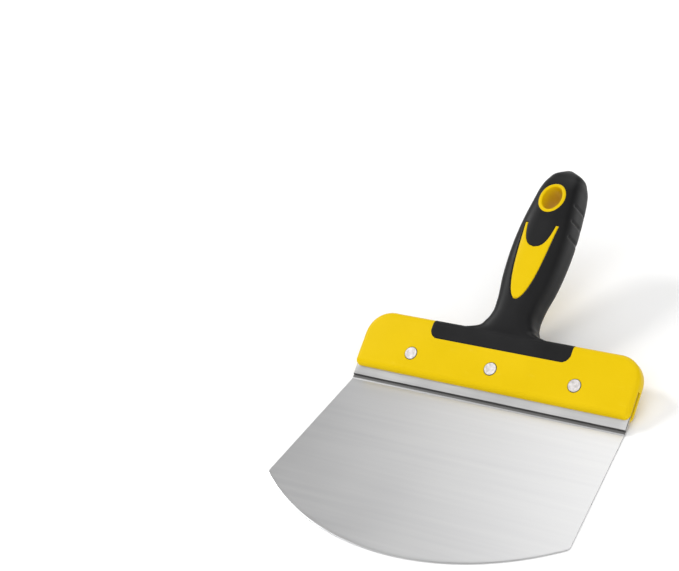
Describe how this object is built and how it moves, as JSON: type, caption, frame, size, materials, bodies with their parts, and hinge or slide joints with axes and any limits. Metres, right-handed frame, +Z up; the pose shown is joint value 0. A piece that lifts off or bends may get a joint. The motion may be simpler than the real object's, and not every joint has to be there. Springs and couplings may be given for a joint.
{
  "type": "drywall taping knife",
  "caption": "Wide taping knife: a bow-edged sheet blade canted from a riveted moulded head, with a soft grip handle and a hanging eye.",
  "frame": {"origin": "on the blade's flat underside at its middle, 1 mm ahead of the bend line, where the blade lies on the surface it rests on", "axes": "+X along the blade's width to the right seen from the handle end, +Y from the working edge towards the handle, +Z up out of the blade's upper face"},
  "size_m": [0.2496, 0.3407, 0.0852],
  "materials": {
    "blade_steel": "fine brushed",
    "strip_steel": "satin",
    "core_plastic": "semi-gloss moulded",
    "grip_rubber": "matt, fine grained",
    "rivet_metal": "satin"
  },
  "bodies": {
    "root": {"blade": "blade_steel", "front_strip": "strip_steel", "rear_strip": "strip_steel", "core": "core_plastic", "grip": "grip_rubber", "rivet_left": "rivet_metal", "rivet_middle": "rivet_metal", "rivet_right": "rivet_metal", "rivet_cap_left": "rivet_metal", "rivet_cap_middle": "rivet_metal", "rivet_cap_right": "rivet_metal"}
  },
  "joints": []
}
